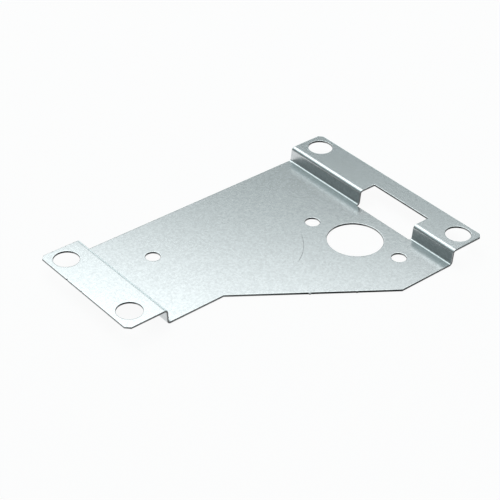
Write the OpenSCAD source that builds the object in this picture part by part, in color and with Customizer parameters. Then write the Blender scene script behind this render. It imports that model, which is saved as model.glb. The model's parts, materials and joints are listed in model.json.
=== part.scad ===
// Freezer support: one steel sheet, punched flat and then folded.
// A low plate lies between two raised flanges. Each flange is lifted by a riser with a bend at its foot
// and a bend at its head, and leans outwards a little, as sheet does that springs back after bending.
// The plate is wider at its right end, where a window was punched across the bend.
// Lengths are measured from the feet: a foot is the line across the plate where a riser's lower bend starts.
// Seen from above, +X is to the right, +Y is towards the long straight edge and +Z is up.

/* [Sheet] */
// Thickness of the steel sheet
sheet_t = 1.0; // [0.8:0.1:1.5]
// Inside radius of every bend
bend_r = 1.0; // [0.6:0.1:2]
// How far the risers lean outwards from upright, in degrees
riser_lean = 5; // [0:0.5:10]

/* [Plate] */
// Length of the flat plate, from foot to foot
plate_len = 131.5; // [118:0.5:200]
// Width of the narrow left end
narrow_w = 69; // [50:0.5:110]
// Width of the wide right end
wide_w = 117.5; // [95:0.5:160]
// Straight near edge from the left foot to the start of the slanted edge
left_run = 31.2; // [9:0.1:60]
// Straight near edge from the right foot to the end of the slanted edge
right_run = 31.5; // [9:0.1:44]

/* [Flanges] */
// Height of the flanges over the plate
step_h = 7.6; // [6:0.1:20]
// Length of the left end, from the foot to the flange's tip
left_end = 24.5; // [21:0.5:60]
// Length of the right end, from the foot to the flange's tip
right_end = 22; // [21:0.5:60]
// Corner cut at the outer corners of both flanges
corner_cut = 2.0; // [0.5:0.1:3]

/* [Flange holes] */
// Diameter of the holes in the flanges
flange_hole_d = 12.7; // [6:0.1:13]
// Distance from the long straight edge to the far hole of each flange
far_to_hole = 9; // [8.5:0.1:12]
// Distance from the left flange's near end to its near hole
left_near_to_hole = 10; // [8.5:0.1:14]
// Distance from the right flange's near end to its near hole
right_near_to_hole = 8.5; // [8:0.1:14]
// Distance from the left flange's tip to its holes
left_tip_to_hole = 8.9; // [8:0.1:12]
// Distance from the right flange's tip to its holes
right_tip_to_hole = 8.4; // [8:0.1:10]

/* [Round opening] */
// Diameter of the large hole
opening_d = 28; // [10:0.5:34]
// Distance from the right foot to the centre of the large hole
opening_to_foot = 21.4; // [19:0.1:30]
// Distance from the near edge to the centre of the large hole
near_to_opening = 43.6; // [36:0.1:52]
// Diameter of the screw holes on either side of the large hole
screw_hole_d = 7.5; // [3:0.1:10]
// Distance between those screw holes
screw_pitch = 50; // [40:0.5:64]
// Turn of their line away from the width of the plate, in degrees
screw_turn = 15; // [-15:1:30]

/* [Lone hole] */
// Diameter of the lone hole beside the left riser
lone_hole_d = 7.5; // [3:0.1:15]
// Distance from the left foot to the lone hole
lone_to_foot = 23.7; // [11:0.1:60]
// Distance from the long straight edge to the lone hole
far_to_lone = 24.1; // [12:0.1:55]

/* [Window] */
// Length of the window, along the bend
window_len = 38; // [10:0.5:70]
// Distance from the near edge to the window
near_to_window = 27.1; // [17:0.1:60]
// How far the window reaches into the plate, from the right foot
window_in_plate = 0.6; // [0.1:0.1:5]
// How far the window reaches outwards, from the right foot
window_outwards = 11.6; // [5:0.1:15]
// Radius of the window's corners
window_r = 0.5; // [0.2:0.1:2]

/* [Hidden] */
$fn = 96;
// The outer surface of a bend, and the middle of the sheet in it
bend_outer_r = bend_r + sheet_t;
bend_middle_r = bend_r + sheet_t / 2;
// Angle through which every bend turns the sheet
turn = 90 - riser_lean;
// Straight length of a riser between its bends
riser_straight = (step_h - 2 * bend_middle_r * (1 - cos(turn))) / sin(turn);
// Places along the length
total_len = left_end + plate_len + right_end;
left_tip = -total_len / 2;
left_foot = left_tip + left_end;
right_foot = left_foot + plate_len;
right_tip = total_len / 2;
// Places across the width
straight_edge = wide_w / 2;
near_edge = -wide_w / 2;
narrow_edge = straight_edge - narrow_w;
// Heights
total_h = sheet_t + step_h;
// Cutters run this far past the surface that they cut
past = 1;

// The arc of one bend, which starts at the given angle
module bend_arc(start) {
    intersection() {
        difference() {
            circle(r = bend_outer_r);
            circle(r = bend_r);
        }
        rotate(start)
            square(bend_outer_r);
        rotate(start + turn - 90)
            square(bend_outer_r);
    }
}

// Section through the right end: from its foot at x = 0 up the riser and out along the flange.
// Each piece starts where the one before it ends. The flange runs past its tip, where the outline cuts it.
module end_section(end_len) {
    translate([0, sheet_t + bend_r]) {
        bend_arc(270);
        rotate(turn) {
            translate([0, -bend_outer_r])
                square([riser_straight, sheet_t]);
            translate([riser_straight, -2 * bend_middle_r]) {
                bend_arc(90 - turn);
                rotate(-turn)
                    translate([0, bend_r])
                        square([end_len, sheet_t]);
            }
        }
    }
}

// Section through the whole folded sheet, drawn with its height as y
module folded_section() {
    translate([left_foot, 0])
        square([plate_len, sheet_t]);
    translate([left_foot, 0])
        mirror([1, 0])
            end_section(left_end);
    translate([right_foot, 0])
        end_section(right_end);
}

// Outline of the part seen from above
module plan_outline() {
    polygon([
        [left_tip + corner_cut, narrow_edge],
        [left_foot + left_run, narrow_edge],
        [right_foot - right_run, near_edge],
        [right_tip - corner_cut, near_edge],
        [right_tip, near_edge + corner_cut],
        [right_tip, straight_edge - corner_cut],
        [right_tip - corner_cut, straight_edge],
        [left_tip + corner_cut, straight_edge],
        [left_tip, straight_edge - corner_cut],
        [left_tip, narrow_edge + corner_cut]
    ]);
}

// The sheet after folding, before its holes
module folded_sheet() {
    intersection() {
        rotate([90, 0, 0])
            linear_extrude(height = wide_w + 2 * past, center = true)
                folded_section();
        translate([0, 0, -past])
            linear_extrude(height = total_h + 2 * past)
                plan_outline();
    }
}

// A round cutter through the whole height
module round_cut(x, y, d) {
    translate([x, y, -past])
        cylinder(d = d, h = total_h + 2 * past);
}

// The far hole and the near hole of a flange
module flange_hole_cuts(x, near_y) {
    for (y = [straight_edge - far_to_hole, near_y])
        round_cut(x, y, flange_hole_d);
}

// The large hole, and a screw hole on either side of it
module opening_cuts() {
    translate([right_foot - opening_to_foot, near_edge + near_to_opening, 0]) {
        round_cut(0, 0, opening_d);
        rotate(screw_turn)
            for (side = [-1, 1])
                round_cut(0, side * screw_pitch / 2, screw_hole_d);
    }
}

// The window through the plate's end, the riser and part of the flange
module window_cut() {
    low_x = right_foot - window_in_plate;
    low_y = near_edge + near_to_window;
    long_x = window_in_plate + window_outwards;
    translate([low_x, low_y, -past])
        linear_extrude(height = total_h + 2 * past)
            union() {
                translate([window_r, 0])
                    square([long_x - 2 * window_r, window_len]);
                translate([0, window_r])
                    square([long_x, window_len - 2 * window_r]);
                for (x = [window_r, long_x - window_r], y = [window_r, window_len - window_r])
                    translate([x, y])
                        circle(r = window_r);
            }
}

// The finished part
module support_plate() {
    color("silver")
        difference() {
            folded_sheet();
            flange_hole_cuts(left_tip + left_tip_to_hole, narrow_edge + left_near_to_hole);
            flange_hole_cuts(right_tip - right_tip_to_hole, near_edge + right_near_to_hole);
            opening_cuts();
            round_cut(left_foot + lone_to_foot, straight_edge - far_to_lone, lone_hole_d);
            window_cut();
        }
}

support_plate();
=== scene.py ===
# %% [markdown]
# # A freezer support, folded from one steel sheet
#
# The real part is one piece of zinc-coated steel, 1 mm thick. It is punched flat, and then two offset bends
# lift a flange at each end. This lesson follows the same order: draw the blank, punch it, fold it, and give
# it its zinc finish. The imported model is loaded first. Its box gives the tips and the long edges, and its
# list of mounts gives the round holes, so both models keep to the same measures.

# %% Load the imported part
import json
import math

import bmesh
import bpy
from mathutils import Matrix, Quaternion, Vector


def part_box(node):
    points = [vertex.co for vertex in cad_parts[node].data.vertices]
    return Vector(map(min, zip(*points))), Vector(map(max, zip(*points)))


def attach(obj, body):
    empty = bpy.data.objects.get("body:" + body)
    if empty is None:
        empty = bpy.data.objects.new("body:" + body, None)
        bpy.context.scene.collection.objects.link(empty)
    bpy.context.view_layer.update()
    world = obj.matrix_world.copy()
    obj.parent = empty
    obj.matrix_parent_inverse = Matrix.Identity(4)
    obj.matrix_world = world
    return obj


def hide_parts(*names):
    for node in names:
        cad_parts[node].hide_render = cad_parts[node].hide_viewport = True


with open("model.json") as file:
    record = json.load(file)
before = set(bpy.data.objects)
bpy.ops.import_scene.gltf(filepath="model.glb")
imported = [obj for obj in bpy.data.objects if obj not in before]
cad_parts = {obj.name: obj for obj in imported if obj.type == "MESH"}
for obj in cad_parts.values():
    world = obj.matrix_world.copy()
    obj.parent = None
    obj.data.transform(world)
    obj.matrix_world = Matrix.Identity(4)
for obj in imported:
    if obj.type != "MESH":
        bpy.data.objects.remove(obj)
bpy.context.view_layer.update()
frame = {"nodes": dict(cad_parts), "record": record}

MM = 0.001
scene = bpy.context.scene
scene.view_settings.view_transform = "Standard"
print("nodes:", sorted(frame["nodes"]))

# %% [markdown]
# ## The camera
#
# The photo was taken with a long lens from the front left, about 36 degrees above the table. A long lens at
# some distance keeps parallel edges nearly parallel, which is why parts catalogues use it. The place, the
# turn and the focal length below come from matching the outline and the holes to the photo, so nothing is
# left to the eye.

# %% Camera
camera_data = bpy.data.cameras.new("catalogue_camera")
camera_data.sensor_width = 36.0
camera_data.lens = 112.624
camera_data.clip_start = 10 * MM
camera = bpy.data.objects.new("catalogue_camera", camera_data)
camera.location = (-0.401714, -0.455236, 0.445049)
camera.rotation_euler = [math.radians(angle) for angle in (54.12099, -1.26163, -39.85898)]
scene.collection.objects.link(camera)
scene.camera = camera
print("camera stands", round(camera.location.length / MM), "mm from the part")

# %% [markdown]
# ## Helpers for node trees
#
# Geometry and materials are both built from node trees here. Short helpers keep the trees readable: one adds
# a node and fills or links its inputs, one adds a step of arithmetic, and the others start, end and run a
# geometry tree. A tree ends in plain geometry with its material, because the export leaves out instances.


# %% Node helpers
def add_node(tree, kind, inputs=None, **settings):
    """Adds a node. Each input is a plain value, or the output socket that feeds it."""
    new = tree.nodes.new(kind)
    for name, value in settings.items():
        setattr(new, name, value)
    for key, value in (inputs or {}).items():
        if isinstance(value, bpy.types.NodeSocket):
            tree.links.new(value, new.inputs[key])
        else:
            new.inputs[key].default_value = value
    return new


def calc(tree, operation, *values):
    """One step of arithmetic, on numbers or sockets."""
    return add_node(tree, "ShaderNodeMath", dict(enumerate(values)), operation=operation).outputs[0]


# %% Helpers for geometry trees
def new_tree(name, inputs):
    """A geometry tree with named inputs. Each input is a name, a socket type and a value."""
    tree = bpy.data.node_groups.new(name, "GeometryNodeTree")
    tree.interface.new_socket("Geometry", in_out="INPUT", socket_type="NodeSocketGeometry")
    for label, kind, value in inputs:
        socket = tree.interface.new_socket(label, in_out="INPUT", socket_type=kind)
        if value is not None:
            socket.default_value = value
    tree.interface.new_socket("Geometry", in_out="OUTPUT", socket_type="NodeSocketGeometry")
    return tree, tree.nodes.new("NodeGroupInput").outputs, tree.nodes.new("NodeGroupOutput").inputs


def end_tree(tree, geometry, material, out):
    """Ends a geometry tree with plain geometry in one material."""
    real = add_node(tree, "GeometryNodeRealizeInstances", {"Geometry": geometry})
    painted = add_node(tree, "GeometryNodeSetMaterial", {"Geometry": real.outputs[0], "Material": material})
    tree.links.new(painted.outputs[0], out[0])


def run_tree(mesh, tree, values):
    """Runs a geometry tree on a mesh and returns the result as a new plain mesh."""
    carrier = bpy.data.objects.new("carrier", mesh)
    scene.collection.objects.link(carrier)
    modifier = carrier.modifiers.new(tree.name, "NODES")
    modifier.node_group = tree
    for item in tree.interface.items_tree:
        if item.item_type == "SOCKET" and item.in_out == "INPUT" and item.name in values:
            modifier[item.identifier] = values[item.name]
    bpy.context.view_layer.update()
    result = bpy.data.meshes.new_from_object(carrier.evaluated_get(bpy.context.evaluated_depsgraph_get()))
    bpy.data.objects.remove(carrier)
    return result


# %% [markdown]
# ## The flat blank
#
# A folded part starts as a flat blank, and every hole is punched while the sheet is flat. So the outline is
# drawn in flat lengths. The risers of the real part lean outwards by about 5 degrees, as sheet does that
# springs back, so each bend turns by 85 degrees. An offset bend takes up more sheet than it covers seen from
# above: two such bends at the middle of the sheet, and the riser between them. Everything on a flange is
# moved outwards by the difference, which `stretch` holds. A foot is the line where a riser's lower bend
# starts.

# %% Sizes of the sheet, in metres
SHEET = 1.0 * MM
BEND_RADIUS = 1.0 * MM
STEP_HEIGHT = 7.6 * MM
MIDDLE_RADIUS = BEND_RADIUS + SHEET / 2
LEAN = 5.0
TURN = math.radians(90 - LEAN)
ARC = MIDDLE_RADIUS * TURN
RISE = (STEP_HEIGHT - 2 * MIDDLE_RADIUS * (1 - math.cos(TURN))) / math.sin(TURN)
REACH = 2 * MIDDLE_RADIUS * math.sin(TURN) + RISE * math.cos(TURN)

plain_low, plain_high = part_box("support_plate")
tip, straight_edge, near_edge = (round(place, 5) for place in (plain_high[0], plain_high[1], plain_low[1]))
narrow_edge = -10.25 * MM
foot_left, foot_right = -64.5 * MM, 67.0 * MM
corner = 2.0 * MM
stretch = 2 * ARC + RISE - REACH
blank_tip = tip + stretch
print("the blank is", round(2 * blank_tip / MM, 2), "mm long; folded it is", round(2 * tip / MM, 2), "mm")

# %% [markdown]
# The outline is one closed line. Along the two edges where small break-off marks remain, the line gets extra
# points, so that the marks can be raised later. The near edge of the narrow end isn't quite parallel to the
# far edge: it goes in by half a millimetre over its length, from the flange to the slanted edge.


# %% Outline
def between(start, end, share):
    """The point at a share of the way from start to end."""
    return (start[0] + (end[0] - start[0]) * share, start[1] + (end[1] - start[1]) * share)


def dense(start, end, marks, reach=1.2 * MM, spacing=0.12 * MM):
    """The points of an edge from start up to end, closely spaced around each mark, a share of the edge."""
    length = math.dist(start, end)
    count = round(reach / spacing)
    shares = [mark + step * spacing / length for mark in marks for step in range(-count, count + 1)]
    return [start] + [between(start, end, share) for share in sorted(shares)]


LEFT_RUN, RIGHT_RUN = 31.2 * MM, 31.5 * MM
OUT_AT_TIP, IN_AT_SLANT = 0.35 * MM, 0.15 * MM
NARROW_CORNER = 2.4 * MM
SLANT_MARKS = (0.480, 0.744)
TIP_MARKS = (0.312, 0.490)

slant_start = (foot_left + LEFT_RUN, narrow_edge + IN_AT_SLANT)
slant_end = (foot_right - RIGHT_RUN, near_edge)
narrow_start = (-blank_tip + NARROW_CORNER, narrow_edge - OUT_AT_TIP)
tip_start, tip_end = (-blank_tip, straight_edge - corner), (-blank_tip, narrow_edge + corner)
outline = [narrow_start] + dense(slant_start, slant_end, SLANT_MARKS) + [
    slant_end, (blank_tip - corner, near_edge), (blank_tip, near_edge + corner),
    (blank_tip, straight_edge - corner), (blank_tip - corner, straight_edge),
    (-blank_tip + corner, straight_edge)] + dense(tip_start, tip_end, TIP_MARKS) + [tip_end]
print(len(outline), "points on the outline")

# %% [markdown]
# The window is a second closed line with small round corners. It lies across the bend, from the end of the
# plate to half of the flange. It goes the other way round than the outline, so that the metal lies on the
# left-hand side of every line.


# %% Window
def arc_points(centre, radius, start, end, steps):
    """Points on an arc between two angles in degrees."""
    angles = [math.radians(start + (end - start) * step / steps) for step in range(steps + 1)]
    return [(centre[0] + radius * math.cos(angle), centre[1] + radius * math.sin(angle)) for angle in angles]


WINDOW_IN_PLATE, WINDOW_OUTWARDS = 0.6 * MM, 11.6 * MM
NEAR_TO_WINDOW, WINDOW_LENGTH = 27.1 * MM, 38.0 * MM
WINDOW_CORNER, STEPS_PER_CORNER = 0.5 * MM, 6

left = foot_right - WINDOW_IN_PLATE + WINDOW_CORNER
right = foot_right + WINDOW_OUTWARDS + stretch - WINDOW_CORNER
near = near_edge + NEAR_TO_WINDOW + WINDOW_CORNER
far = near_edge + NEAR_TO_WINDOW + WINDOW_LENGTH - WINDOW_CORNER
window = []
for centre, turn in (((left, near), 270), ((left, far), 180), ((right, far), 90), ((right, near), 0)):
    window += arc_points(centre, WINDOW_CORNER, turn, turn - 90, STEPS_PER_CORNER)
print(len(window), "points on the window")

# %% [markdown]
# The round holes are only points, each with a diameter. The node tree puts a circle on each of them. Their
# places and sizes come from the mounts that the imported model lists: a pair of holes in each flange, the
# round opening with a pair of screw holes beside it, and a lone hole. A typed table would do too, but it
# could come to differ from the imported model.

# %% Table of round holes: place along, place across, diameter
SCREW_TURN = math.radians(15)
mounts = {mount["name"]: mount for mount in frame["record"]["mounts"]}


def hole(name, along=0.0, across=0.0):
    """A hole of a mount, moved away from the mount's own place by along and across."""
    place, sizes = mounts[name]["pos_m"], mounts[name]["dims"]
    radius = sizes["hole_r_mm"] if "hole_r_mm" in sizes else sizes["r_mm"]
    return (place[0] + along, place[1] + across, 2 * radius * MM)


holes = []
for flange, outwards in (("left_flange_holes", -stretch), ("right_flange_holes", stretch)):
    half_pitch = mounts[flange]["dims"]["spacing_y_mm"] * MM / 2
    holes += [hole(flange, outwards, half_pitch), hole(flange, outwards, -half_pitch)]
screw_reach = mounts["opening_screws"]["dims"]["pcd_mm"] * MM / 2
screw_step = (-screw_reach * math.sin(SCREW_TURN), screw_reach * math.cos(SCREW_TURN))
holes += [hole("round_opening"), hole("opening_screws", *screw_step),
          hole("opening_screws", -screw_step[0], -screw_step[1]), hole("lone_hole")]
for along, across, diameter in holes:
    print("hole at", round(along / MM, 2), round(across / MM, 2), "diameter", round(diameter / MM, 2), "mm")


# %% The drawing as a mesh
def drawing_mesh():
    """Outline and window as closed lines of edges, and the holes as loose points with a diameter."""
    points, edges, diameters = [], [], []
    for line in (outline, window):
        first = len(points)
        points += [(x, y, 0) for x, y in line]
        edges += [(first + i, first + (i + 1) % len(line)) for i in range(len(line))]
        diameters += [0.0] * len(line)
    points += [(x, y, 0) for x, y, _ in holes]
    diameters += [diameter for _, _, diameter in holes]
    mesh = bpy.data.meshes.new("drawing")
    mesh.from_pydata(points, edges, [])
    mesh.attributes.new("diameter", "FLOAT", "POINT").data.foreach_set("value", diameters)
    return mesh


drawing = drawing_mesh()
print("drawing:", len(drawing.vertices), "points,", len(drawing.edges), "edges")

# %% [markdown]
# ## Punching
#
# A punched edge isn't a plain square edge. The punch pulls the top of the sheet down a little, so the upper
# corner is rounded, and the lower one is nearly sharp. This section of the edge is drawn once, and the
# *Curve to Mesh* node runs it along the outline, the window and every hole. *Fill Curve* then closes the top
# and the underside between those rims. A boolean cut would give the same holes, but not the rounded rims.
#
# The section also has one line further in on each flat side. It keeps the shading of the big flat faces
# apart from that of the small rounding.

# %% Section of the punched edge: how far in from the wall, and height
INNER_LINE = 0.45
section = [(INNER_LINE, 1.0), (0.16, 1.0), (0.10, 0.985), (0.045, 0.945), (0.012, 0.885), (0.0, 0.81),
           (0.0, 0.5), (0.0, 0.10), (0.015, 0.03), (0.06, 0.0), (INNER_LINE, 0.0)]
section_mesh = bpy.data.meshes.new("edge_section")
section_mesh.from_pydata([(-inset * MM, -height * SHEET, 0) for inset, height in section],
                         [(i, i + 1) for i in range(len(section) - 1)], [])
section_object = bpy.data.objects.new("edge_section", section_mesh)
scene.collection.objects.link(section_object)
print("section of the edge:", len(section), "points")


# %% Rings for the holes, and rims along every line
def rings_on_points(tree, given):
    """Puts a circle of its own diameter on every hole. It runs clockwise, with the metal on its left."""
    diameter = add_node(tree, "GeometryNodeInputNamedAttribute", {"Name": "diameter"}).outputs["Attribute"]
    is_hole = calc(tree, "GREATER_THAN", diameter, 0.0)
    centres = add_node(tree, "GeometryNodeMeshToPoints", {"Mesh": given["Geometry"], "Selection": is_hole})
    circle = add_node(tree, "GeometryNodeCurvePrimitiveCircle", {
        "Resolution": given["Points on a circle"], "Radius": 0.5})
    clockwise = add_node(tree, "GeometryNodeReverseCurve", {"Curve": circle.outputs["Curve"]})
    size = add_node(tree, "ShaderNodeCombineXYZ", {"X": diameter, "Y": diameter, "Z": diameter})
    rings = add_node(tree, "GeometryNodeInstanceOnPoints", {
        "Points": centres.outputs["Points"], "Instance": clockwise.outputs["Curve"],
        "Scale": size.outputs[0]})
    return add_node(tree, "GeometryNodeRealizeInstances", {"Geometry": rings.outputs[0]}).outputs[0]


def join(tree, parts):
    """Joins pieces of geometry into one."""
    joined = tree.nodes.new("GeometryNodeJoinGeometry")
    for part in parts:
        tree.links.new(part, joined.inputs[0])
    return joined.outputs[0]


def rims_along_lines(tree, given):
    """Runs the section of the edge along the outline, the window and the rings."""
    lines = add_node(tree, "GeometryNodeMeshToCurve", {"Mesh": given["Geometry"]}).outputs[0]
    every_line = join(tree, (rings_on_points(tree, given), lines))
    upright = add_node(tree, "GeometryNodeSetCurveNormal", {"Curve": every_line}, mode="Z_UP")
    section_info = add_node(tree, "GeometryNodeObjectInfo", {"Object": given["Edge section"]})
    section_line = add_node(tree, "GeometryNodeMeshToCurve", {"Mesh": section_info.outputs["Geometry"]})
    return add_node(tree, "GeometryNodeCurveToMesh", {
        "Curve": upright.outputs[0], "Profile Curve": section_line.outputs[0]}).outputs["Mesh"]


# %% [markdown]
# The rims have two borders, one on the top of the sheet and one on its underside. A border edge has only one
# face beside it, which is how the tree finds them. Each border is filled at its own height, and points
# closer than a thousandth of a millimetre are merged, so that the blank is one closed skin.

# %% The punching tree
TINY = 0.001 * MM


def flat_faces(tree, given, rims):
    """Fills the rims' borders at the top and at the underside of the sheet."""
    height = add_node(tree, "ShaderNodeSeparateXYZ", {
        0: tree.nodes.new("GeometryNodeInputPosition").outputs[0]}).outputs["Z"]
    faces_beside = tree.nodes.new("GeometryNodeInputMeshEdgeNeighbors").outputs["Face Count"]
    is_border = calc(tree, "LESS_THAN", faces_beside, 1.5)
    is_upper = calc(tree, "GREATER_THAN", height, calc(tree, "MULTIPLY", given["Thickness"], 0.5))
    is_lower = calc(tree, "SUBTRACT", 1.0, is_upper)
    faces = []
    for side, level in ((is_upper, given["Thickness"]), (is_lower, 0.0)):
        border = add_node(tree, "GeometryNodeMeshToCurve", {
            "Mesh": rims, "Selection": calc(tree, "MULTIPLY", is_border, side)})
        filled = add_node(tree, "GeometryNodeFillCurve", {"Curve": border.outputs[0]})
        lifted = add_node(tree, "GeometryNodeTransform", {
            "Geometry": filled.outputs[0],
            "Translation": add_node(tree, "ShaderNodeCombineXYZ", {"Z": level}).outputs[0]})
        faces.append(lifted.outputs[0])
    return faces


def build_punching_tree():
    tree, given, out = new_tree("punch_the_blank", [
        ("Edge section", "NodeSocketObject", None), ("Thickness", "NodeSocketFloat", SHEET),
        ("Points on a circle", "NodeSocketInt", 72), ("Sheet material", "NodeSocketMaterial", None)])
    rims = rims_along_lines(tree, given)
    closed = join(tree, flat_faces(tree, given, rims) + [rims])
    merged = add_node(tree, "GeometryNodeMergeByDistance", {"Geometry": closed, "Distance": TINY})
    end_tree(tree, merged.outputs[0], given["Sheet material"], out)
    return tree


zinc = bpy.data.materials.new("zinc_coated_steel")
blank = run_tree(drawing, build_punching_tree(), {"Edge section": section_object, "Sheet material": zinc})
bpy.data.objects.remove(section_object)
print("punched blank:", len(blank.vertices), "points,", len(blank.polygons), "faces")

# %% [markdown]
# ## Break-off marks
#
# The blanks are cut side by side from a large sheet and hang on small bridges until they are snapped off.
# The slanted edge was torn rather than cut, and a torn wall isn't upright. It leans outwards towards its
# foot, by a sixth of a millimetre, which makes it look thicker from above. The points of the wall are there
# already, so they are only moved, each by how far it lies below the top. None of them passes the near edge.
# The lean ends just short of the inner line of the edge's section, and so do the marks below. So the flat
# faces stay flat.

# %% The torn wall of the slanted edge
MARK_DEPTH = (INNER_LINE - 0.01) * MM
WALL_LEAN = 0.16 * MM
PAST_THE_END = 0.1 * MM


def edge_axes(start, end):
    """The direction along an edge, and the direction outwards from the metal on its left."""
    along = (Vector(end) - Vector(start)).normalized()
    return along, Vector((along.y, -along.x))


def lean_wall(mesh, start, end, reach):
    """Lets the cut wall of an edge lean outwards towards its foot, by reach at the underside."""
    along, outwards = edge_axes(start, end)
    moved = 0
    for vertex in mesh.vertices:
        offset = vertex.co.xy - Vector(start)
        inset, way = -offset.dot(outwards), offset.dot(along)
        if -PAST_THE_END < way < math.dist(start, end) + PAST_THE_END and inset < MARK_DEPTH:
            depth = min(max(1 - inset / MARK_DEPTH, 0.0), 1.0)
            vertex.co.xy += outwards * reach * depth * (1 - vertex.co.z / SHEET)
            vertex.co.y = max(vertex.co.y, near_edge)
            moved += 1
    return moved


print("points of the leaning wall:", lean_wall(blank, slant_start, slant_end, WALL_LEAN))

# %% [markdown]
# What is left of a bridge is a nib of up to 0.4 mm, or a nick. On the slanted edge two nibs stand out, and
# the sheet's upper rim was pulled down with them, so that they catch the light. On the edge of the left
# flange two nicks go in. Each mark moves the points of the cut wall along the edge's own normal, and fades
# out along the edge and into the sheet. A boolean would need a cutter for each mark, and would leave sharp
# corners.

# %% Nibs and nicks
RIM_DEPTH = 0.15 * MM
FADED_OUT = 2.5


def raise_mark(mesh, start, end, share, height, width, dip):
    """Pushes the cut wall outwards by height around a share of the edge, and the upper rim down by dip."""
    along, outwards = edge_axes(start, end)
    place = Vector(between(start, end, share))
    moved = 0
    for vertex in mesh.vertices:
        offset = vertex.co.xy - place
        inset, away = -offset.dot(outwards), offset.dot(along) / width
        if abs(away) > FADED_OUT or inset > MARK_DEPTH:
            continue
        strength = math.exp(-away ** 4)
        vertex.co.xy += outwards * height * strength * (1 - max(inset, 0) / MARK_DEPTH)
        if vertex.co.z > SHEET / 2:
            vertex.co.z -= dip * strength * max(0, 1 - max(inset, 0) / RIM_DEPTH)
        moved += 1
    return moved


# Each mark: the start and end of its edge, its share of the edge, and its height, width and dip.
marks = [
    (slant_start, slant_end, SLANT_MARKS[0], 0.38 * MM, 0.50 * MM, 0.26 * MM),
    (slant_start, slant_end, SLANT_MARKS[1], 0.20 * MM, 0.40 * MM, 0.08 * MM),
    (tip_start, tip_end, TIP_MARKS[0], -0.30 * MM, 0.40 * MM, 0.0),
    (tip_start, tip_end, TIP_MARKS[1], -0.20 * MM, 0.40 * MM, 0.0),
]
print("points moved at each mark:", [raise_mark(blank, *mark) for mark in marks])

# %% [markdown]
# ## Bend lines
#
# Faces only bend where they have edges. So the blank is cut by a row of lines across each bend: ten steps
# for its arc, and one more line beside each bend on the flat side, for the shading.

# %% Lines across the bends
STEPS_PER_BEND = 10
BESIDE = 0.4 * MM


def bend_lines(foot, side):
    """Places along the blank where it is cut for one offset bend, from the foot outwards."""
    lines = [-BESIDE]
    for start in (0.0, ARC + RISE):
        lines += [start + ARC * step / STEPS_PER_BEND for step in range(STEPS_PER_BEND + 1)]
    lines += [ARC + BESIDE, ARC + RISE - BESIDE, 2 * ARC + RISE + BESIDE]
    return [foot + side * line for line in sorted(lines)]


def score(shape):
    """Cuts the blank along the bend lines and turns its faces outwards."""
    for place in bend_lines(foot_left, -1) + bend_lines(foot_right, 1):
        bmesh.ops.bisect_plane(shape, geom=shape.verts[:] + shape.edges[:] + shape.faces[:],
                               dist=TINY / 10, plane_co=(place, 0, 0), plane_no=(1, 0, 0))
    bmesh.ops.recalc_face_normals(shape, faces=shape.faces)
    shape.normal_update()


scored = bmesh.new()
scored.from_mesh(blank)
score(scored)
print("scored blank:", len(scored.faces), "faces")

# %% [markdown]
# Every point now learns what was done to it, because each treatment leaves another finish, and which painted
# light it gets. The cut wall is bare steel. On the slanted edge it is torn and dark, because the blank was
# snapped off there, and a small spot at the first nick is made dark as well. The walls at the tips get a
# painted highlight, a lighter steel. The upper rim of the larger nib was pulled down without breaking, so it
# keeps its zinc.

# %% Finish and painted highlight of the outline
FACING_OUT, FACING_TIP = 0.3, 0.5
BARE_ON_SLANT, BARE_ELSEWHERE, BARE_FADE = 0.95, 0.75, 0.4
TIP_BAND, SPOT, PULLED = 0.2 * MM, 0.4 * MM, 0.5 * MM

slant_along, slant_outwards = edge_axes(slant_start, slant_end)
dark_spot = Vector(between(tip_start, tip_end, TIP_MARKS[0]))
pulled = Vector(between(slant_start, slant_end, SLANT_MARKS[0]))


def clamp(value):
    return min(max(value, 0.0), 1.0)


def outline_finish(point, normal):
    """How bare and how torn the sheet is at a point, and how much painted highlight it gets, each from 0 to
    1.
    """
    # A small spot at the first nick is made dark, as bare torn steel.
    if (point.xy - dark_spot).length < SPOT:
        return 1.0, 1.0, 0.0
    on_slant = (normal.xy.dot(slant_outwards) > FACING_OUT and point.y < slant_start[1] + TINY
                and slant_start[0] < point.x < slant_end[0])
    bare = clamp(((BARE_ON_SLANT if on_slant else BARE_ELSEWHERE) - abs(normal.z)) / BARE_FADE)
    if on_slant and point.z > SHEET / 2 and abs((point.xy - pulled).dot(slant_along)) < PULLED:
        bare = 0.0
    # The walls at the tips get a painted highlight: a lighter steel colour.
    highlight = abs(normal.x) > FACING_TIP and abs(point.x) > blank_tip - TIP_BAND
    return bare, float(on_slant), float(highlight)


# %% [markdown]
# In a hole one side of the wall gets painted shade, and the side next to it gets a painted highlight, by the
# way the wall faces. The bends and the risers were worked by the folding tool, which leaves the zinc duller.
# The finishes and the painted shade and highlight are kept as four numbers on the points, and the material
# reads them later.

# %% Painted shade and highlight of the holes, and finish of the bends
SHADED_SIDE, HIGHLIGHT_SIDE = Vector((-0.5, -0.87)), Vector((-0.87, 0.5))
SHADE_FROM, SHADE_FADE = 0.78, 0.12
HIGHLIGHT_MOST, HIGHLIGHT_GAIN = 0.9, 2
HOLE_BAND = 0.3 * MM


def hole_shade_and_highlight(point, normal):
    """How much painted shade and how much painted highlight the wall of a hole gets at a point, or None away
    from the holes.
    """
    # Hole walls whose faces point to the near left get painted shade, and those that point to the far left
    # get a painted highlight.
    for along, across, diameter in holes:
        if abs(math.dist(point.xy, (along, across)) - diameter / 2) < HOLE_BAND:
            facing = normal.xy.normalized()
            tear_and_shade = clamp((facing.dot(SHADED_SIDE) - SHADE_FROM) / SHADE_FADE)
            return tear_and_shade, HIGHLIGHT_MOST * (1 - tear_and_shade) * clamp(HIGHLIGHT_GAIN * facing.dot(HIGHLIGHT_SIDE))
    return None


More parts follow.
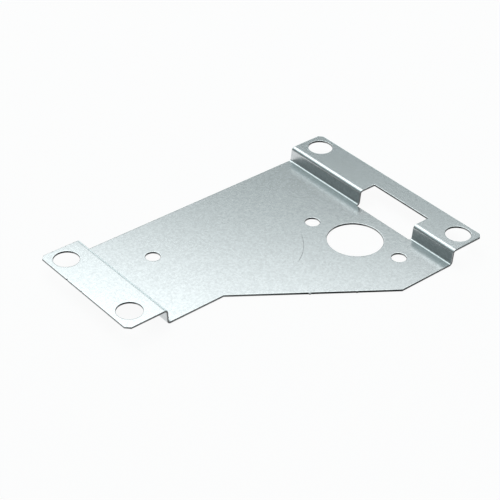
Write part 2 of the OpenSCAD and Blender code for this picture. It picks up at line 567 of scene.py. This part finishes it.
def mark_finishes(shape):
    """Writes four numbers on every point of the blank: bare wall, tear with painted shade, painted highlight,
    and worked bend.
    """
    names = ("cut_wall", "torn_wall", "trimmed_wall", "worked")
    layers = [shape.verts.layers.float.new(name) for name in names]
    for vertex in shape.verts:
        bare, tear_and_shade, highlight = outline_finish(vertex.co, vertex.normal)
        # In the holes the painted shade is stored with the tears, and the painted highlight with that of the
        # tips.
        tear_and_shade, highlight = hole_shade_and_highlight(vertex.co, vertex.normal) or (tear_and_shade, highlight)
        beyond_foot = max(foot_left - vertex.co.x, vertex.co.x - foot_right)
        worked = float(-TINY < beyond_foot < 2 * ARC + RISE + TINY)
        for layer, share in zip(layers, (bare, tear_and_shade, highlight, worked)):
            vertex[layer] = share


mark_finishes(scored)
scored.to_mesh(blank)
print("volume of the blank in mm3:", round(scored.calc_volume() / MM ** 3, 1))
scored.free()

# %% [markdown]
# ## Folding
#
# The fold is a rule, so a node tree does it. Think of the middle of the sheet as a path in side view. From
# the foot of a bend outwards it turns up through an arc of 85 degrees, climbs the leaning riser, turns back
# through a second such arc, and runs on level. A point of the blank first walks that far along the path.
# Then it steps off the path along the path's normal, by its height above the middle of the sheet. The sheet
# so keeps its thickness everywhere, also in the bends, and the window folds along with it.


# %% The path in side view
def walk(tree, rest, lengths):
    """Shares out the way beyond the foot over the given lengths. Also returns what is left at the end."""
    walked = []
    for length in lengths:
        rest = calc(tree, "MAXIMUM", rest, 0.0)
        walked.append(calc(tree, "MINIMUM", rest, length))
        rest = calc(tree, "SUBTRACT", rest, length)
    return walked, calc(tree, "MAXIMUM", rest, 0.0)


def follow_path(tree, walked, radius, turn):
    """Way made outwards and upwards on the two arcs and the riser, and the tilt of the path there."""
    up_turn, back_turn = (calc(tree, "DIVIDE", walked[arc], radius) for arc in (0, 2))
    left_to_turn = calc(tree, "SUBTRACT", turn, back_turn)
    sines = [calc(tree, "SINE", angle) for angle in (up_turn, turn, left_to_turn)]
    cosines = [calc(tree, "COSINE", angle) for angle in (up_turn, turn, left_to_turn)]

    def travelled(function, first_arc, last_arc):
        arcs = calc(tree, "ADD", calc(tree, "SUBTRACT", *first_arc), calc(tree, "SUBTRACT", *last_arc))
        riser = calc(tree, "MULTIPLY", walked[1], calc(tree, function, turn))
        return calc(tree, "ADD", calc(tree, "MULTIPLY", radius, arcs), riser)

    outwards = travelled("COSINE", (sines[0], 0.0), (sines[1], sines[2]))
    upwards = travelled("SINE", (1.0, cosines[0]), (cosines[2], cosines[1]))
    return outwards, upwards, calc(tree, "SUBTRACT", up_turn, back_turn)


# %% The folding tree
def fold_end(tree, given, sheet, side, foot):
    """Folds the points beyond one foot. The side is -1 for the left end and 1 for the right."""
    half = calc(tree, "MULTIPLY", given["Thickness"], 0.5)
    radius = calc(tree, "ADD", given["Inside radius"], half)
    turn, arc = given["Turn of a bend"], calc(tree, "MULTIPLY", radius, given["Turn of a bend"])
    x, y, z = add_node(tree, "ShaderNodeSeparateXYZ", {
        0: tree.nodes.new("GeometryNodeInputPosition").outputs[0]}).outputs
    beyond = calc(tree, "MULTIPLY", calc(tree, "SUBTRACT", x, foot), side)
    walked, level = walk(tree, beyond, (arc, given["Rise between bends"], arc))
    outwards, upwards, tilt = follow_path(tree, walked, radius, turn)
    above = calc(tree, "SUBTRACT", z, half)
    reach = calc(tree, "SUBTRACT", calc(tree, "ADD", level, outwards),
                 calc(tree, "MULTIPLY", above, calc(tree, "SINE", tilt)))
    climb = calc(tree, "ADD", upwards, calc(tree, "MULTIPLY", above, calc(tree, "COSINE", tilt)))
    place = add_node(tree, "ShaderNodeCombineXYZ", {
        "X": calc(tree, "ADD", foot, calc(tree, "MULTIPLY", reach, side)), "Y": y,
        "Z": calc(tree, "ADD", climb, half)})
    return add_node(tree, "GeometryNodeSetPosition", {
        "Geometry": sheet, "Selection": calc(tree, "GREATER_THAN", beyond, 0.0),
        "Position": place.outputs[0]}).outputs[0]


def build_folding_tree():
    tree, given, out = new_tree("fold_the_blank", [
        ("Thickness", "NodeSocketFloat", SHEET), ("Inside radius", "NodeSocketFloat", BEND_RADIUS),
        ("Turn of a bend", "NodeSocketFloat", TURN),
        ("Rise between bends", "NodeSocketFloat", RISE), ("Left foot", "NodeSocketFloat", foot_left),
        ("Right foot", "NodeSocketFloat", foot_right), ("Sheet material", "NodeSocketMaterial", None)])
    sheet = fold_end(tree, given, given["Geometry"], -1.0, given["Left foot"])
    sheet = fold_end(tree, given, sheet, 1.0, given["Right foot"])
    end_tree(tree, sheet, given["Sheet material"], out)
    return tree


# %% Fold the blank
SHARP_ANGLE = math.radians(40)

folded = run_tree(blank, build_folding_tree(), {"Sheet material": zinc})
folded.name = "folded_support"
folded.shade_smooth()
folded.set_sharp_from_angle(angle=SHARP_ANGLE)
support = bpy.data.objects.new("folded_support", folded)
scene.collection.objects.link(support)
print("folded support:", len(folded.vertices), "points,", len(folded.polygons), "faces,",
      "highest point", round(max(vertex.co.z for vertex in folded.vertices) / MM, 3), "mm")

# %% [markdown]
# ## The zinc finish
#
# The sheet has a thin coat of zinc. It is a satin metal with a slight blue-green tint, and it carries a fine
# mottle: zinc freezes in tiny crystals, and each of them turns the light a little differently. The colour
# comes from noise at three sizes, and the roughness from the middle one of them, by less than a hundredth.
# The noise reads object coordinates, so it sits in the metal and doesn't slide. A picture of real sheet would
# have to be laid out over every face and bend, and noise fits all of them as it is.


# %% Helpers for materials
def noise(tree, place, size, detail=2.0, roughness=0.5):
    """Noise whose blobs are about as large as size, in metres, with values around 0.5."""
    return add_node(tree, "ShaderNodeTexNoise", {
        "Vector": place, "Scale": 1 / size, "Detail": detail, "Roughness": roughness}).outputs["Fac"]


def remap(tree, value, old_low, old_high, new_low, new_high):
    """Turns one range of values into another and holds it at its ends."""
    return add_node(tree, "ShaderNodeMapRange", {
        "Value": value, "From Min": old_low, "From Max": old_high, "To Min": new_low, "To Max": new_high
    }).outputs["Result"]


def spread(tree, value, reach, low=0.0, high=1.0):
    """Spreads noise from low to high over the values that lie within reach of one half."""
    return remap(tree, value, 0.5 - reach, 0.5 + reach, low, high)


def mix_colour(tree, factor, first, second):
    return add_node(tree, "ShaderNodeMix", {0: factor, 6: first, 7: second}, data_type="RGBA").outputs[2]


def mix_number(tree, factor, first, second):
    return add_node(tree, "ShaderNodeMix", {0: factor, 2: first, 3: second}, data_type="FLOAT").outputs[0]


# %% Colour and roughness of the zinc
ZINC_DARK = (0.565, 0.592, 0.599, 1.0)
ZINC_LIGHT = (0.657, 0.689, 0.697, 1.0)
GRAIN_SIZE, MOTTLE_SIZE, CLOUD_SIZE = 1.4 * MM, 4.5 * MM, 40 * MM
GRAIN_SHARE, MOTTLE_SHARE, CLOUD_SHARE = 0.80, 0.14, 0.06
DULLER, BRIGHTER = 0.234, 0.226

zinc.use_nodes = True
zinc_tree = zinc.node_tree
zinc_tree.nodes.clear()
place = add_node(zinc_tree, "ShaderNodeTexCoord").outputs["Object"]
grain = noise(zinc_tree, place, GRAIN_SIZE, detail=3.0, roughness=0.6)
mottle = noise(zinc_tree, place, MOTTLE_SIZE)
cloud = noise(zinc_tree, place, CLOUD_SIZE)
fine, medium, coarse = (calc(zinc_tree, "MULTIPLY", pattern, share) for pattern, share in (
    (grain, GRAIN_SHARE), (mottle, MOTTLE_SHARE), (cloud, CLOUD_SHARE)))
crystals = calc(zinc_tree, "ADD", fine, calc(zinc_tree, "ADD", medium, coarse))
zinc_colour = mix_colour(zinc_tree, spread(zinc_tree, crystals, reach=0.12), ZINC_DARK, ZINC_LIGHT)
zinc_roughness = spread(zinc_tree, mottle, reach=0.20, low=DULLER, high=BRIGHTER)
print("zinc so far:", len(zinc_tree.nodes), "nodes")

# %% [markdown]
# One thin scratch crosses the plate. It is a ring around a point, of which only an arc is kept: it starts
# sharply at its near end, fades out at its far end, and stays on the top of the plate. It could be cut as a
# groove, but a scratch this thin has no depth that shows, so a darker line in the colour is enough.

# %% The scratch
SCRATCH_CENTRE, SCRATCH_RADIUS = (-4.5 * MM, 20.3 * MM, 1.0 * MM), 35.8 * MM
SCRATCH_CORE, SCRATCH_RIM = 0.05 * MM, 0.20 * MM
SCRATCH_NEAR_END, SCRATCH_FAR_END = (-12.2 * MM, -11.2 * MM), (2.0 * MM, 5.0 * MM)
SCRATCH_RIGHT_OF, SCRATCH_ABOVE = 5 * MM, 0.9 * MM
SCRATCH_STRENGTH = 0.60
STEEL_DARK, STEEL_LIGHT = (0.090, 0.092, 0.094, 1.0), (0.205, 0.207, 0.206, 1.0)

along, across, above = add_node(zinc_tree, "ShaderNodeSeparateXYZ", {0: place}).outputs
from_centre = add_node(zinc_tree, "ShaderNodeVectorMath", {0: place, 1: SCRATCH_CENTRE}, operation="DISTANCE")
off_ring = calc(zinc_tree, "SUBTRACT", from_centre.outputs["Value"], SCRATCH_RADIUS)
scratch = remap(zinc_tree, calc(zinc_tree, "ABSOLUTE", off_ring), SCRATCH_CORE, SCRATCH_RIM, 1.0, 0.0)
for limit in (remap(zinc_tree, across, *SCRATCH_NEAR_END, 0.0, 1.0),
              remap(zinc_tree, across, *SCRATCH_FAR_END, 1.0, 0.0),
              calc(zinc_tree, "GREATER_THAN", along, SCRATCH_RIGHT_OF),
              calc(zinc_tree, "GREATER_THAN", above, SCRATCH_ABOVE)):
    scratch = calc(zinc_tree, "MULTIPLY", scratch, limit)
scratch = calc(zinc_tree, "MULTIPLY", scratch, SCRATCH_STRENGTH)
scratched_colour = mix_colour(zinc_tree, scratch, zinc_colour, STEEL_DARK)
print("the scratch runs around a point", round(SCRATCH_RADIUS / MM, 1), "mm away")

# %% [markdown]
# The cut wall shows bare steel. It is darker and rougher than the zinc, and noise along its length makes it
# uneven, as a punched edge is. Torn steel is nearly black, and so is the painted shade in the holes; the
# painted highlight on the tips and in the holes is a lighter steel. On the worked bends the zinc is duller.

# %% Bare steel, painted shade and highlight, and worked zinc
# The torn steel colour is also the painted shade in the holes, and the lighter steel is the painted highlight
# on the tips and in the holes.
TORN_AND_SHADED_STEEL, HIGHLIGHT_STEEL = (0.018, 0.020, 0.020, 1.0), (0.400, 0.410, 0.410, 1.0)
TORN_AND_SHADE_STRENGTH, HIGHLIGHT_STRENGTH = 0.92, 0.70
WORKED_ROUGHNESS, STEEL_ROUGHNESS = 0.31, 0.55
TEAR_SIZE = 2.4 * MM


def finish_share(name):
    """How far a point has one of the four numbers written on the blank."""
    return add_node(zinc_tree, "ShaderNodeAttribute", attribute_name=name).outputs["Fac"]


tearing = noise(zinc_tree, place, TEAR_SIZE, detail=4.0, roughness=0.65)
steel_colour = mix_colour(zinc_tree, spread(zinc_tree, tearing, reach=0.15), STEEL_DARK, STEEL_LIGHT)
# Mixes in the torn steel with the painted shade, and then the painted highlight.
for name, strength, other in (("torn_wall", TORN_AND_SHADE_STRENGTH, TORN_AND_SHADED_STEEL),
                              ("trimmed_wall", HIGHLIGHT_STRENGTH, HIGHLIGHT_STEEL)):
    here = calc(zinc_tree, "MULTIPLY", finish_share(name), strength)
    steel_colour = mix_colour(zinc_tree, here, steel_colour, other)
worked_roughness = mix_number(zinc_tree, finish_share("worked"), zinc_roughness, WORKED_ROUGHNESS)
print("steel and zinc so far:", len(zinc_tree.nodes), "nodes")

# %% The metal surface
wall = finish_share("cut_wall")
surface = add_node(zinc_tree, "ShaderNodeBsdfPrincipled", {
    "Base Color": mix_colour(zinc_tree, wall, scratched_colour, steel_colour),
    "Metallic": 1.0, "Roughness": mix_number(zinc_tree, wall, worked_roughness, STEEL_ROUGHNESS)})
half_grain, half_mottle = (calc(zinc_tree, "MULTIPLY", pattern, 0.5) for pattern in (grain, mottle))
bump = add_node(zinc_tree, "ShaderNodeBump", {
    "Height": calc(zinc_tree, "ADD", half_grain, half_mottle), "Strength": 0.01, "Distance": 0.05 * MM})
zinc_tree.links.new(bump.outputs[0], surface.inputs["Normal"])
add_node(zinc_tree, "ShaderNodeOutputMaterial", {"Surface": surface.outputs[0]})
print("zinc material:", len(zinc_tree.nodes), "nodes")

# %% [markdown]
# ## Floor, lamps and studio
#
# The photo has a white ground. Here a plain pale floor takes its place. Where the camera or a reflection
# meets it, nine tenths of its brightness come from a plain white, so it looks nearly as white as the photo's
# ground and still shows a soft shadow of the part. Nothing else is lit by that white. The floor reaches far
# out, so that a camera close to the ground doesn't look past its end. The middle is a face of its own,
# because a ray hits a small face more exactly.

# %% Floor
FLOOR_LINES = (-40, -3, 3, 40)
FLOOR_GAP = 0.05 * MM
FLOOR_PAINT, WHITE_SHARE = (0.92, 0.92, 0.92, 1.0), 0.92

row = len(FLOOR_LINES)
corners = [first for first in range(row * (row - 1)) if first % row < row - 1]
floor_mesh = bpy.data.meshes.new("floor")
floor_mesh.from_pydata([(x, y, -FLOOR_GAP) for y in FLOOR_LINES for x in FLOOR_LINES], [],
                       [(first, first + 1, first + row + 1, first + row) for first in corners])
floor = bpy.data.objects.new("floor", floor_mesh)
scene.collection.objects.link(floor)
pale = bpy.data.materials.new("pale_floor")
pale.use_nodes = True
pale_tree = pale.node_tree
pale_tree.nodes.clear()
ray = pale_tree.nodes.new("ShaderNodeLightPath").outputs
seen = calc(pale_tree, "MAXIMUM", calc(pale_tree, "MAXIMUM", ray["Is Camera Ray"], ray["Is Glossy Ray"]),
            ray["Is Transmission Ray"])
paint = add_node(pale_tree, "ShaderNodeBsdfDiffuse", {"Color": FLOOR_PAINT})
white = add_node(pale_tree, "ShaderNodeEmission", {"Strength": 1.0})
blend = add_node(pale_tree, "ShaderNodeMixShader", {
    0: calc(pale_tree, "MULTIPLY", seen, WHITE_SHARE), 1: paint.outputs[0], 2: white.outputs[0]})
add_node(pale_tree, "ShaderNodeOutputMaterial", {"Surface": blend.outputs[0]})
floor.data.materials.append(pale)
print("floor:", len(floor_mesh.polygons), "faces,", FLOOR_LINES[-1] - FLOOR_LINES[0], "m across")

# %% [markdown]
# A metal shows its surroundings, so its tones come from what stands around it. The room is plain grey, with
# three places of another tone: a dark side, which the risers show, a bright place high up, which gives the
# light line on the upper right bend, and a white place low on the right, which gives the one on the left
# bend. Each tone is blended in by the angle between the view and its place.

# %% Room
ROOM_TINT = (0.93, 1.08, 1.09)
ROOM_GREY, ROOM_DARK, ROOM_WHITE, ROOM_BRIGHT = 0.29, 0.165, 1.60, 1.10
DARK_SIDE, WHITE_PLACE, BRIGHT_PLACE = (145, 5), (38, 2), (100, 55)


def room_tone(level):
    """A grey of the room's walls, with their trace of green and blue."""
    return (*(level * part for part in ROOM_TINT), 1.0)


def direction(azimuth, elevation):
    """A unit vector. Azimuth 0 is +X and 90 is +Y; both angles are in degrees."""
    turn, rise = math.radians(azimuth), math.radians(elevation)
    return Vector((math.cos(turn) * math.cos(rise), math.sin(turn) * math.cos(rise), math.sin(rise)))


room = bpy.data.worlds.new("grey_room")
room.use_nodes = True
room_tree = room.node_tree
view = room_tree.nodes.new("ShaderNodeTexCoord").outputs["Generated"]
walls = room_tone(ROOM_GREY)
# Each tone: its place, the cosines of the angles where it starts and where it is full, and its level.
tones = [(DARK_SIDE, 0.70, 0.99, ROOM_DARK), (WHITE_PLACE, 0.90, 0.98, ROOM_WHITE),
         (BRIGHT_PLACE, 0.80, 1.0, ROOM_BRIGHT)]
for towards, start, full, level in tones:
    nearness = add_node(room_tree, "ShaderNodeVectorMath", {0: view, 1: direction(*towards)},
                        operation="DOT_PRODUCT")
    share = remap(room_tree, nearness.outputs["Value"], start, full, 0.0, 1.0)
    walls = mix_colour(room_tree, share, walls, room_tone(level))
room_tree.links.new(walls, room_tree.nodes["Background"].inputs["Color"])
scene.world = room
print("room:", len(room_tree.nodes), "nodes")

# %% [markdown]
# One large soft lamp stands behind the part. The part's near left mirrors the lamp's lower edge and so is
# bright, and the far right mirrors the plain grey room below the lamp. A second soft lamp hangs overhead and
# lights the floor evenly.


# %% Lamps
def soft_lamp(name, azimuth, elevation, distance, width, height, power, roll=0.0):
    """A rectangular lamp that faces the part, rolled about its own middle by an angle in degrees."""
    data = bpy.data.lights.new(name, "AREA")
    data.shape = "RECTANGLE"
    data.size, data.size_y = width, height
    data.energy = power
    lamp = bpy.data.objects.new(name, data)
    lamp.location = direction(azimuth, elevation) * distance
    facing = lamp.location.to_track_quat("Z", "Y") @ Quaternion((0, 0, 1), math.radians(roll))
    lamp.rotation_euler = facing.to_euler()
    scene.collection.objects.link(lamp)
    return lamp


softbox = soft_lamp("softbox", azimuth=62.6, elevation=50.9, distance=1.6,
                    width=1.335, height=0.90, power=6.0, roll=-15.3)
overhead = soft_lamp("overhead", azimuth=235, elevation=86, distance=1.5, width=1.2, height=1.2, power=5.0)
print("lamps at", [[round(value, 2) for value in lamp.location] for lamp in (softbox, overhead)])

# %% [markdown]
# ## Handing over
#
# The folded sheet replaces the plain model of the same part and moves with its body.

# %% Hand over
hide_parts("support_plate")
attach(support, "root")
